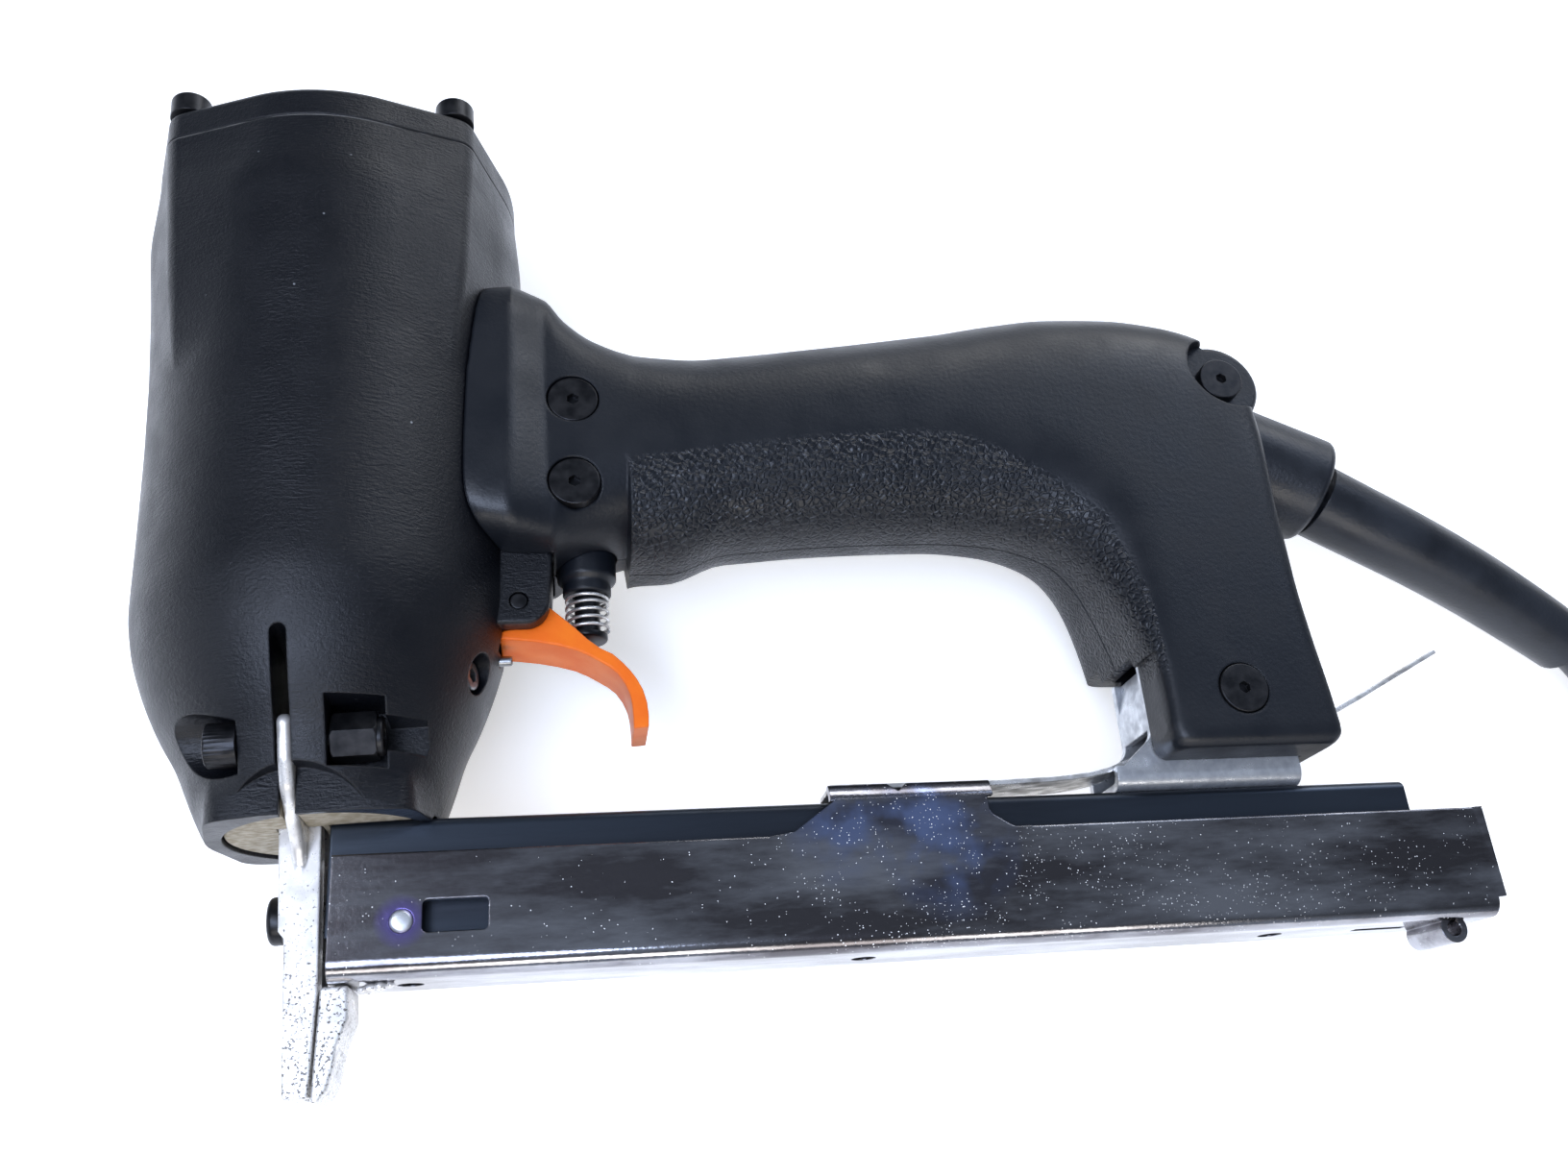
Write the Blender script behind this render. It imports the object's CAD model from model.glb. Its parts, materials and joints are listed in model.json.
import json
import math
from functools import partial

import bpy
from mathutils import Matrix, Vector


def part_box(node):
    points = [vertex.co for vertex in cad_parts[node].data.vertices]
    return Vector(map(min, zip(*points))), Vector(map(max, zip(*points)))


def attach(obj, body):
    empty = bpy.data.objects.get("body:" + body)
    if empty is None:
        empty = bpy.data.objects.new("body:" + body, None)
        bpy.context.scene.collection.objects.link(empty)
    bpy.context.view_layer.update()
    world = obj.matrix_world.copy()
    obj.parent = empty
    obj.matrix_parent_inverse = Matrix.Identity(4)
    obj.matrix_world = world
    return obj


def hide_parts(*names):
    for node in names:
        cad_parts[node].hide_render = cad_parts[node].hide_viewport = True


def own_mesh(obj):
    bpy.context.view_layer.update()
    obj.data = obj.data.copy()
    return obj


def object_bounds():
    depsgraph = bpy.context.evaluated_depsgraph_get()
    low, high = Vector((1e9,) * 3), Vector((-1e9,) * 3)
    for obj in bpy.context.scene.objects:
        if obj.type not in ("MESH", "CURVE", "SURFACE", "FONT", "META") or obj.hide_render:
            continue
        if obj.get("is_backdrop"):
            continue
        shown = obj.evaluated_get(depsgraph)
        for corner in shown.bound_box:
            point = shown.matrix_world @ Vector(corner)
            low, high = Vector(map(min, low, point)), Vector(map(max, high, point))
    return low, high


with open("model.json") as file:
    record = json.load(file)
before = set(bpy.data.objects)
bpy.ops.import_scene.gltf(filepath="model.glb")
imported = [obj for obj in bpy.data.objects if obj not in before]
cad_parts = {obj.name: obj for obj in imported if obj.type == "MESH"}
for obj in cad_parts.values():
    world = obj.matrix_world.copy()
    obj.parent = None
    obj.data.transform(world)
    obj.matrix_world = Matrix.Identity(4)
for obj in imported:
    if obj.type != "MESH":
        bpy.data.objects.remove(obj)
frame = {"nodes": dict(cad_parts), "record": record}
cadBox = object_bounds()
nodes = frame["nodes"]
print("frame loaded:", len(nodes), "nodes")

# The tool's own frame, in mm, and the head's frame, which leans in it.
toolOrigin = (-83.26144665, -86.72384583, 33.20000076)
headRake = 2
inTool = Matrix.Scale(0.001, 4) @ Matrix.Translation(toolOrigin)
inHead = inTool @ Matrix.Translation((0, 40.8, 0)) @ Matrix.Rotation(math.radians(headRake), 4, "Z")


toTool = inTool.inverted()


def at(x, y, z):
    return inTool @ Vector((x, y, z))


def linear(hexColour):
    # sRGB hex to the linear colour that the sockets take
    parts = [int(hexColour[i : i + 2], 16) / 255 for i in (1, 3, 5)]
    return [p / 12.92 if p <= 0.04045 else ((p + 0.055) / 1.055) ** 2.4 for p in parts] + [1.0]


def addNode(tree, kind, links=None, **settings):
    # adds a shader node; a link is a value, another node or one of its outputs
    node = tree.nodes.new("ShaderNode" + kind)
    for name, value in settings.items():
        setattr(node, name, value)
    for socket, value in (links or {}).items():
        if isinstance(value, bpy.types.Node):
            value = value.outputs[0]
        if isinstance(value, bpy.types.NodeSocket):
            tree.links.new(value, node.inputs[socket])
        else:
            node.inputs[socket].default_value = value
    return node


def selectOnly(*pieces):
    bpy.ops.object.select_all(action="DESELECT")
    for piece in pieces:
        piece.select_set(True)
    bpy.context.view_layer.objects.active = pieces[0]


# Camera: a phone's lens from above the front of the tool.
cameraPlace = {
    "lens": 30.22,
    "across": (0.98657, -0.07449, 0.14533),
    "up": (0.01089, 0.91793, 0.3966),
    "back": (-0.16295, -0.38969, 0.90641),
    "point": (-0.044702, -0.097780, 0.255140),
}
cameraData = bpy.data.cameras.new("camera")
cameraData.lens = cameraPlace["lens"]
cameraData.sensor_width = 36
cameraData.clip_start = 0.01
camera = bpy.data.objects.new("camera", cameraData)
bpy.context.scene.collection.objects.link(camera)
axes = Matrix([cameraPlace["across"], cameraPlace["up"], cameraPlace["back"]]).transposed()
camera.matrix_world = Matrix.Translation(cameraPlace["point"]) @ axes.to_4x4()
bpy.context.scene.camera = camera

# Studio: a white table, soft panels that the magazine's mirror doesn't see, and a ceiling that darkens upwards.
studio = {
    "floorSize": 6.0,
    "floorColour": "#fdfdfd",
    "floorGlow": 0.52,
    "panels": [
        # name, place, size, power, colour
        ("overhead", (-0.3, -0.3, 0.95), (0.6, 0.36), 8.0, "#d4e2ff"),
        ("nose side", (-0.45, 0.1, 0.95), (0.2, 0.25), 1.0, "#eef2ff"),
        ("window", (0.8, 0.8, 0.95), (0.7, 0.55), 2.6, "#cfe0ff"),
        ("front", (0.05, -0.95, 0.5), (0.9, 0.3), 4.6, "#fffaf4"),
        ("left", (-0.95, -0.1, 0.45), (0.5, 0.4), 1.2, "#e6eeff"),
        ("rear", (0.45, 0.85, 0.5), (0.8, 0.3), 3.4, "#ffffff"),
    ],
    "ceiling": [(0.0, 0.5), (0.3, 0.26), (0.55, 0.1), (0.75, 0.2), (1.0, 0.27)],
}


def makeStudio():
    bpy.ops.object.select_all(action="DESELECT")
    bpy.ops.mesh.primitive_plane_add(size=studio["floorSize"], location=(0, 0, 0))
    floor = bpy.context.object
    floor.name = "floor"
    material = bpy.data.materials.new("whiteTableTop")
    material.use_nodes = True
    material.node_tree.nodes.clear()
    add = partial(addNode, material.node_tree)
    colour = linear(studio["floorColour"])
    path = add("LightPath")
    seen = add("Math", {0: path.outputs["Is Camera Ray"], 1: path.outputs["Is Glossy Ray"]}, operation="MAXIMUM")
    matt = add("BsdfDiffuse", {"Color": colour})
    glow = add("Emission", {"Color": colour, "Strength": studio["floorGlow"]})
    both = add("AddShader", {0: matt, 1: glow})
    add("OutputMaterial", {"Surface": add("MixShader", {0: seen, 1: matt, 2: both})})
    floor.data.materials.append(material)
    floor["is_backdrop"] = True
    for name, place, size, power, colour in studio["panels"]:
        data = bpy.data.lights.new(name, "AREA")
        data.shape = "RECTANGLE"
        data.size, data.size_y = size
        data.energy = power
        data.color = linear(colour)[:3]
        panel = bpy.data.objects.new(name, data)
        bpy.context.scene.collection.objects.link(panel)
        panel.location = place
        aim = Vector((0, 0, 0.03)) - Vector(place)
        panel.rotation_euler = aim.to_track_quat("-Z", "Y").to_euler()
    world = bpy.data.worlds.new("studio")
    bpy.context.scene.world = world
    world.use_nodes = True
    world.node_tree.nodes.clear()
    add = partial(addNode, world.node_tree)
    split = add("SeparateXYZ", {0: add("TexCoord").outputs["Generated"]})
    ramp = add("ValToRGB", {0: split.outputs["Z"]})
    stops = studio["ceiling"]
    while len(ramp.color_ramp.elements) < len(stops):
        ramp.color_ramp.elements.new(1)
    for element, (position, value) in zip(ramp.color_ramp.elements, stops):
        element.position = position
        element.color = (value * 0.84, value * 0.97, value * 1.2, 1)
    add("OutputWorld", {"Surface": add("Background", {"Color": ramp, "Strength": 1.0})})
    bpy.context.scene.view_settings.view_transform = "Standard"


makeStudio()
print("studio ready")


# Materials: every finish starts with its shader, its place in metres and edges rounded by some mm.
def startFinish(name, edge, **values):
    material = bpy.data.materials.new(name)
    material.use_nodes = True
    tree = material.node_tree
    tree.nodes.clear()
    add = partial(addNode, tree)
    shader = add("BsdfPrincipled", {socket.replace("_", " "): value for socket, value in values.items()})
    add("OutputMaterial", {"Surface": shader})
    place = add("TexCoord").outputs["Object"]
    soft = add("Bevel", {"Radius": edge / 1000}, samples=4)

    def finish(**sockets):
        for socket, value in sockets.items():
            tree.links.new(value.outputs[0] if isinstance(value, bpy.types.Node) else value, shader.inputs[socket.replace("_", " ")])
        return material

    return add, place, soft, finish


casting = {
    "colour": "#090b11",
    "worn": "#8f8d89",
    "dust": "#a4a8ad",
    "grain": 0.6,  # mm; the real grain is finer than the render's pixels
    "streak": 1.7,  # mm long
    "partingHeight": 121.1,  # mm up the head, where the cap rests
}


def paintedCasting():
    # Die-cast aluminium under satin black paint: pebbled grain, level streaks and a rubbed line under the cap.
    add, place, soft, finish = startFinish("paintedCasting", 0.5, **{"Specular_IOR_Level": 0.36})
    grain = add("TexNoise", {"Vector": place, "Scale": 1000 / casting["grain"], "Detail": 4, "Roughness": 0.7})
    flat = add("Mapping", {"Vector": place, "Scale": (1, 4, 1)})
    streak = add("TexNoise", {"Vector": flat, "Scale": 1000 / casting["streak"], "Detail": 3})
    patch = add("MapRange", {0: add("TexNoise", {"Vector": place, "Scale": 45, "Detail": 2}), 1: 0.4, 2: 0.6, 3: 0.2, 4: 1.0})
    streaks = add("Math", {0: streak, 1: patch}, operation="MULTIPLY")
    height = add("Math", {0: grain, 1: streaks}, operation="ADD")
    surface = add("Bump", {"Height": height, "Distance": 0.00017, "Strength": 0.7, "Normal": soft})
    rough = add("MapRange", {0: add("TexNoise", {"Vector": place, "Scale": 140, "Detail": 4}), 1: 0.35, 2: 0.65, 3: 0.31, 4: 0.42})
    up = inHead.to_3x3().normalized().col[1]
    foot = up.dot(inHead @ Vector((0, casting["partingHeight"], 0)))
    along = add("VectorMath", {0: place, 1: tuple(up)}, operation="DOT_PRODUCT").outputs["Value"]
    apart = add("Math", {0: add("Math", {0: along, 1: foot}, operation="SUBTRACT")}, operation="ABSOLUTE")
    near = add("MapRange", {0: apart, 1: 0.0001, 2: 0.00022, 3: 1, 4: 0})
    broken = add("MapRange", {0: add("TexNoise", {"Vector": place, "Scale": 120, "Detail": 4}), 1: 0.4, 2: 0.52, 3: 0.15, 4: 1})
    rubbed = add("Math", {0: near, 1: broken}, operation="MULTIPLY")
    cells = add("TexVoronoi", {"Vector": place, "Scale": 260})  # cells of about 4 mm with a speck of dust in a few
    few = add("Math", {0: add("SeparateColor", {0: cells.outputs["Color"]}), 1: 0.86}, operation="GREATER_THAN")
    dot = add("MapRange", {0: cells.outputs["Distance"], 1: 0.03, 2: 0.07, 3: 0.6, 4: 0})
    specks = add("Math", {0: few, 1: dot}, operation="MULTIPLY")
    bare = add("Mix", {0: rubbed, 6: linear(casting["colour"]), 7: linear(casting["worn"])}, data_type="RGBA")
    colour = add("Mix", {0: specks, 6: bare.outputs[2], 7: linear(casting["dust"])}, data_type="RGBA")
    return finish(Base_Color=colour.outputs[2], Roughness=rough, Normal=surface)


nylon = {
    "colour": "#0e1219",
    "scuff": "#33353a",
    "spark": 0.75,  # mm, the mould's spark texture
    "crackle": 1.15,  # mm across one pad of the grip's leather texture
}


def mouldedNylon():
    # Glass-filled nylon from a spark-textured mould: satin, with leather pads pressed into the grip.
    add, place, soft, finish = startFinish("mouldedNylon", 0.6, **{"Specular_IOR_Level": 0.42})
    fine = add("TexNoise", {"Vector": place, "Scale": 1000 / nylon["spark"], "Detail": 3})
    surface = add("Bump", {"Height": fine, "Distance": 0.00009, "Strength": 0.55, "Normal": soft})
    grip = add("Attribute", attribute_name="grip").outputs["Fac"]
    wander = add("TexNoise", {"Vector": place, "Scale": 600, "Detail": 1}).outputs["Color"]
    bent = add("VectorMath", {0: wander, 1: (0.001, 0.001, 0.001)}, operation="MULTIPLY")
    moved = add("VectorMath", {0: place, 1: bent}, operation="ADD")
    cells = add("TexVoronoi", {"Vector": moved, "Scale": 1000 / nylon["crackle"]}, feature="DISTANCE_TO_EDGE")
    pads = add("MapRange", {0: cells, 1: 0.0, 2: 0.26, 3: 0, 4: 1}, interpolation_type="SMOOTHSTEP")
    lifted = add("Math", {0: pads, 1: grip}, operation="MULTIPLY")
    surface = add("Bump", {"Height": lifted, "Distance": 0.0002, "Strength": 0.85, "Normal": surface})
    tone = add("MapRange", {0: add("TexNoise", {"Vector": place, "Scale": 110, "Detail": 5}), 1: 0.35, 2: 0.65, 3: 0.35, 4: 0.47})
    slanted = add("Mapping", {"Vector": place, "Scale": (0.35, 1.6, 1), "Rotation": (0, 0, 0.6)})
    scratch = add("MapRange", {0: add("TexNoise", {"Vector": slanted, "Scale": 800, "Detail": 6}), 1: 0.7, 2: 0.76, 3: 0, 4: 1})
    where = add("MapRange", {0: add("TexNoise", {"Vector": place, "Scale": 60, "Detail": 1}), 1: 0.56, 2: 0.7, 3: 0, 4: 0.8})
    scuffs = add("Math", {0: scratch, 1: where}, operation="MULTIPLY")
    colour = add("Mix", {0: scuffs, 6: linear(nylon["colour"]), 7: linear(nylon["scuff"])}, data_type="RGBA")
    return finish(Base_Color=colour.outputs[2], Roughness=tone, Normal=surface)


# Finishes that share one recipe: blotches between two tones and roughnesses over a fine grain.
# Each is: what it is, its light and dark colour, least and most roughness, metallic, specular level,
# blotch and grain in mm, how far both are stretched along the tool, grain depth and edge rounding in mm
plainFinishes = {
    # black-oxide steel: oily dark grey, a little browner on worn crests
    "black_oxide": ("blackOxideSteel", "#1c1d20", "#2f2f31", 0.3, 0.42, 0.7, 0.5, 2.5, 0.5, 1, 0.012, 0.15),
    # moulded acetal: an even, waxy orange
    "orange_plastic": ("orangeAcetal", "#f57a1c", "#ef6c12", 0.36, 0.46, 0, 0.3, 6, 0.6, 1, 0.05, 0.5),
    # bright zinc on folded sheet: soft grey mottling
    "zinc_plate": ("zincPlate", "#e2e5e8", "#b4b7bc", 0.26, 0.42, 0.75, 0.5, 2.6, 0.9, 1, 0.025, 0.3),
    # drawn spring wire and strip: bright, with tarnish along its length
    "spring_steel": ("drawnSpringSteel", "#efeeec", "#a5a29e", 0.26, 0.42, 0.7, 0.5, 1.6, 0.7, 0.5, 0.02, 0.12),
    # ground tool steel: grey with fine level lines
    "tool_steel": ("groundSteel", "#a9abad", "#77797c", 0.28, 0.42, 1, 0.5, 3, 0.5, 0.2, 0.012, 0.2),
    # blued rail: satin blue-black, drawn along its length
    "satin_black_steel": ("bluedSteel", "#3d444e", "#272b32", 0.28, 0.4, 0.8, 0.5, 9, 0.6, 0.12, 0.015, 0.4),
    # neoprene jacket and gland: matt black with a fine drawn grain and chalky dust
    "black_rubber": ("neopreneRubber", "#16191f", "#22262d", 0.34, 0.46, 0, 0.45, 12, 0.7, 1, 0.08, 0.4),
    # vulcanised fibre: pale beige board with short fibres
    "beige_fibre": ("vulcanisedFibre", "#b3aa9a", "#8f8672", 0.75, 0.88, 0, 0.3, 0.9, 0.5, 0.6, 0.12, 0.3),
    # unfilled nylon: milky white
    "white_nylon": ("naturalNylon", "#e6e1d4", "#d3ccbb", 0.48, 0.6, 0, 0.4, 5, 0.6, 1, 0.04, 0.3),
    # glass-epoxy laminate: green lacquer over the weave
    "board_green": ("boardLaminate", "#226f3e", "#195a31", 0.35, 0.5, 0, 0.5, 4, 0.5, 1, 0.06, 0.2),
    # rolled brass: yellow with a brown tarnish
    "brass": ("rolledBrass", "#d8b45c", "#a5823a", 0.2, 0.36, 1, 0.5, 3, 0.5, 1, 0.012, 0.15),
}


def plainFinish(name, light, dark, smoothest, roughest, metallic, specular, blotch, grain, stretch, depth, edge):
    add, place, soft, finish = startFinish(name, edge, Metallic=metallic, Specular_IOR_Level=specular)
    drawn = add("Mapping", {"Vector": place, "Scale": (stretch, 1, 1)})
    clouds = add("TexNoise", {"Vector": drawn, "Scale": 1000 / blotch, "Detail": 5})
    share = add("MapRange", {0: clouds, 1: 0.36, 2: 0.64, 3: 0, 4: 1})
    colour = add("Mix", {0: share, 6: linear(light), 7: linear(dark)}, data_type="RGBA")
    rough = add("MapRange", {0: clouds, 1: 0.36, 2: 0.64, 3: smoothest, 4: roughest})
    fine = add("TexNoise", {"Vector": drawn, "Scale": 1000 / grain, "Detail": 3})
    surface = add("Bump", {"Height": fine, "Distance": depth / 1000, "Strength": 0.7, "Normal": soft})
    return finish(Base_Color=colour.outputs[2], Roughness=rough, Normal=surface)


nickel = {
    "light": "#b4b4b9",
    "smoke": "#625f62",
    "blue": "#98aadc",
    "violet": "#8a7cc8",
    "rust": "#8d5f56",
    "speck": "#ffffff",
    "cell": 0.42,  # mm between pits
    "pit": 0.22,  # mm across the largest pit
    "dense": (62, 190),  # mm along the tool, where the pits are dense
    "heat": [(84, 37, 11), (101, 33, 13), (97, 38, 9)],  # x, y and reach of the blue heat tint
    "weld": (12.9, 25.1, 3.6),  # the violet ring round the rivet
}


def nickelPlate():
    # Bright nickel on rolled steel sheet: a smoky mirror full of bright pits, tinted blue where heat reached it.
    add, place, soft, finish = startFinish("nickelPlate", 0.3, Metallic=1.0)
    long = add("Mapping", {"Vector": place, "Scale": (0.35, 1.5, 1)})
    clouds = add("TexNoise", {"Vector": long, "Scale": 75, "Detail": 8, "Roughness": 0.65})
    share = add("MapRange", {0: clouds, 1: 0.36, 2: 0.6, 3: 0, 4: 1})
    tint = add("Mix", {0: share, 6: linear(nickel["light"]), 7: linear(nickel["smoke"])}, data_type="RGBA").outputs[2]
    uneven = add("MapRange", {0: add("TexNoise", {"Vector": place, "Scale": 130, "Detail": 3}), 1: 0.4, 2: 0.6, 3: 0.1, 4: 1})
    for x, y, reach in nickel["heat"]:
        away = add("VectorMath", {0: place, 1: tuple(at(x, y, 10))}, operation="DISTANCE").outputs["Value"]
        spot = add("MapRange", {0: away, 1: reach * 0.0003, 2: reach * 0.001, 3: 0.8, 4: 0})
        patch = add("Math", {0: spot, 1: uneven}, operation="MULTIPLY")
        tint = add("Mix", {0: patch, 6: tint, 7: linear(nickel["blue"])}, data_type="RGBA").outputs[2]
    x, y, reach = nickel["weld"]
    away = add("VectorMath", {0: place, 1: tuple(at(x, y, 10))}, operation="DISTANCE").outputs["Value"]
    ring = add("MapRange", {0: away, 1: reach * 0.0006, 2: reach * 0.0012, 3: 0.8, 4: 0})
    tint = add("Mix", {0: ring, 6: tint, 7: linear(nickel["violet"])}, data_type="RGBA").outputs[2]
    cells = add("TexVoronoi", {"Vector": place, "Scale": 1000 / nickel["cell"]})
    chance = add("SeparateColor", {0: cells.outputs["Color"]})
    span = add("SeparateXYZ", {0: place}).outputs["X"]
    start, end = (at(x, 0, 0).x for x in nickel["dense"])
    rising = add("MapRange", {0: span, 1: start, 2: start + 0.03, 3: 0.12, 4: 0.9})
    falling = add("MapRange", {0: span, 1: end - 0.06, 2: end, 3: 1, 4: 0.35})
    crowd = add("Math", {0: add("Math", {0: rising, 1: falling}, operation="MULTIPLY"), 1: uneven}, operation="MULTIPLY")
    chosen = add("Math", {0: chance, 1: crowd}, operation="LESS_THAN")
    width = add("Math", {0: chance.outputs[1], 1: nickel["pit"] / nickel["cell"]}, operation="MULTIPLY")
    dot = add("Math", {0: cells.outputs["Distance"], 1: add("Math", {0: width, 1: 0.5}, operation="MULTIPLY")}, operation="LESS_THAN")
    specks = add("Math", {0: chosen, 1: dot}, operation="MULTIPLY")
    colour = add("Mix", {0: specks, 6: tint, 7: linear(nickel["speck"])}, data_type="RGBA")
    base = add("MapRange", {0: clouds, 1: 0.35, 2: 0.65, 3: 0.1, 4: 0.2})
    rough = add("Math", {0: base, 1: add("Math", {0: specks, 1: 0.5}, operation="MULTIPLY")}, operation="ADD")
    ripple = add("TexNoise", {"Vector": long, "Scale": 120, "Detail": 2})
    surface = add("Bump", {"Height": ripple, "Distance": 0.00012, "Strength": 0.5, "Normal": soft})
    peel = add("TexNoise", {"Vector": place, "Scale": 1400, "Detail": 1})
    surface = add("Bump", {"Height": peel, "Distance": 0.00003, "Strength": 0.5, "Normal": surface})
    surface = add("Bump", {"Height": specks, "Distance": 0.0002, "Strength": 0.8, "Normal": surface})
    return finish(Base_Color=colour.outputs[2], Roughness=rough, Normal=surface)


castNickel = {
    "light": "#f3f1ee",
    "dull": "#cfccc8",
    "pore": "#3a3330",
    "poreSize": 0.42,  # mm; the real pores are finer than the render's pixels
    "pores": (-34, -2),  # mm up the head's frame, where they go from many to few
}


def castNickelPlate():
    # Investment casting under nickel: nearly white satin skin, open pores towards the tip.
    add, place, soft, finish = startFinish("castNickel", 0.5, Metallic=0.55)
    clouds = add("TexNoise", {"Vector": place, "Scale": 300, "Detail": 4})
    share = add("MapRange", {0: clouds, 1: 0.4, 2: 0.62, 3: 0, 4: 1})
    tint = add("Mix", {0: share, 6: linear(castNickel["light"]), 7: linear(castNickel["dull"])}, data_type="RGBA")
    up = inHead.to_3x3().normalized().col[1]
    low, high = (up.dot(inHead @ Vector((0, y, 0))) for y in castNickel["pores"])
    along = add("VectorMath", {0: place, 1: tuple(up)}, operation="DOT_PRODUCT").outputs["Value"]
    limit = add("MapRange", {0: along, 1: low, 2: high, 3: 0.58, 4: 0.7})
    grains = add("TexNoise", {"Vector": place, "Scale": 1000 / castNickel["poreSize"], "Detail": 2})
    over = add("Math", {0: grains, 1: limit}, operation="SUBTRACT")
    pore = add("MapRange", {0: over, 1: 0.0, 2: 0.03, 3: 0, 4: 0.85})
    colour = add("Mix", {0: pore, 6: tint.outputs[2], 7: linear(castNickel["pore"])}, data_type="RGBA")
    rough = add("MapRange", {0: clouds, 1: 0.35, 2: 0.65, 3: 0.22, 4: 0.38})
    surface = add("Bump", {"Height": pore, "Distance": 0.0001, "Strength": 0.6, "Normal": soft}, invert=True)
    return finish(Base_Color=colour.outputs[2], Roughness=rough, Normal=surface)


def enamelledCopper():
    # Magnet wire in level turns: copper under clear enamel.
    add, place, soft, finish = startFinish("enamelledCopper", 0.1, Metallic=1.0)
    turns = add("TexWave", {"Vector": place, "Scale": 400, "Distortion": 0.2}, wave_type="BANDS", bands_direction="Y")
    colour = add("Mix", {0: turns.outputs["Fac"], 6: linear("#7c3d1c"), 7: linear("#c8773c")}, data_type="RGBA")
    rough = add("MapRange", {0: add("TexNoise", {"Vector": place, "Scale": 300}), 3: 0.25, 4: 0.4})
    surface = add("Bump", {"Height": turns.outputs["Fac"], "Distance": 0.0002, "Strength": 0.7, "Normal": soft})
    return finish(Base_Color=colour.outputs[2], Roughness=rough, Normal=surface)


finishes = {slot: plainFinish(*recipe) for slot, recipe in plainFinishes.items()}
finishes["black_casting"] = paintedCasting()
finishes["black_nylon"] = mouldedNylon()
finishes["nickel_plate"] = nickelPlate()
finishes["copper_wire"] = enamelledCopper()
noseFinish = castNickelPlate()
slotOf = {part["node"]: part["material_slot"] for part in frame["record"]["subparts"]}
for name, node in nodes.items():
    node.data.materials.clear()
    node.data.materials.append(finishes[slotOf[name]])
print("materials ready")


def bodyOf(node):
    return next(body for body, held in frame["record"]["behaviour"]["bodies"].items() if node in held)


def dress(piece, node, material=None):
    # the piece stands for the node, rides with it and takes its finish
    piece.data.materials.clear()
    piece.data.materials.append(material or finishes[slotOf[node]])
    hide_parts(node)
    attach(piece, bodyOf(node))
    return piece


def apply(piece, kind, **settings):
    selectOnly(piece)
    modifier = piece.modifiers.new(kind.lower(), kind)
    for name, value in settings.items():
        setattr(modifier, name, value)
    bpy.ops.object.modifier_apply(modifier=modifier.name)
    return piece


def smooth(piece, angle):
    selectOnly(piece)
    bpy.ops.object.shade_smooth_by_angle(angle=math.radians(angle))
    return apply(piece, "WEIGHTED_NORMAL", mode="FACE_AREA", weight=60, keep_sharp=True)


def pieceFrom(name, points, faces, edges=()):
    mesh = bpy.data.meshes.new(name)
    mesh.from_pydata(points, edges, faces)
    mesh.validate()
    piece = bpy.data.objects.new(name, mesh)
    bpy.context.scene.collection.objects.link(piece)
    return piece


def nodeCopy(node, name):
    piece = bpy.data.objects.new(name, nodes[node].data.copy())
    bpy.context.scene.collection.objects.link(piece)
    selectOnly(piece)
    bpy.ops.object.mode_set(mode="EDIT")
    bpy.ops.mesh.select_all(action="SELECT")
    bpy.ops.mesh.remove_doubles(threshold=2e-6)
    bpy.ops.mesh.dissolve_limited(angle_limit=math.radians(0.5))
    bpy.ops.object.mode_set(mode="OBJECT")
    return piece


def settle(piece, matrix):
    # the place goes into the mesh, and the object stays at the origin
    piece.data.transform(matrix @ piece.matrix_basis)
    piece.matrix_basis = Matrix()
    if matrix.determinant() < 0:
        piece.data.flip_normals()
    return piece


def recalculate(piece):
    selectOnly(piece)
    bpy.ops.object.mode_set(mode="EDIT")
    bpy.ops.mesh.select_all(action="SELECT")
    bpy.ops.mesh.remove_doubles(threshold=1e-6)
    bpy.ops.mesh.normals_make_consistent(inside=False)
    bpy.ops.object.mode_set(mode="OBJECT")
    return piece


def block(space, x0, x1, y0, y1, z0, z1):
    bpy.ops.object.select_all(action="DESELECT")
    bpy.ops.mesh.primitive_cube_add(size=1, location=((x0 + x1) / 2, (y0 + y1) / 2, (z0 + z1) / 2))
    piece = bpy.context.object
    piece.scale = (x1 - x0, y1 - y0, z1 - z0)
    bpy.ops.object.transform_apply(location=True, scale=True)
    return settle(piece, space)


axisTurns = {"x": Matrix.Rotation(math.pi / 2, 4, "Y"), "y": Matrix.Rotation(-math.pi / 2, 4, "X"), "z": Matrix()}


def bar(space, axis, radius, low, high, a, b, sides=64, turn=0.0):
    # a round bar from low to high along one axis, at (a, b) on the other two
    bpy.ops.object.select_all(action="DESELECT")
    bpy.ops.mesh.primitive_cylinder_add(vertices=sides, radius=radius, depth=high - low)
    piece = bpy.context.object
    middle = (low + high) / 2
    piece.data.transform(axisTurns[axis] @ Matrix.Rotation(turn, 4, "Z"))
    place = {"x": (middle, a, b), "y": (a, middle, b), "z": (a, b, middle)}[axis]
    return settle(piece, space @ Matrix.Translation(place))


def prism(space, outline, low, high, plane="xy"):
    # a flat outline drawn in the plane, pulled from low to high
    order = {"xy": lambda u, v, w: (u, v, w), "yz": lambda u, v, w: (w, u, v), "zy": lambda u, v, w: (w, v, u)}[plane]
    count = len(outline)
    points = [order(u, v, w) for w in (low, high) for u, v in outline]
    sides = [(i, (i + 1) % count, count + (i + 1) % count, count + i) for i in range(count)]
    piece = pieceFrom("prism", points, [tuple(range(count))[::-1], tuple(range(count, 2 * count)), *sides])
    return settle(recalculate(piece), space)


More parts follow.
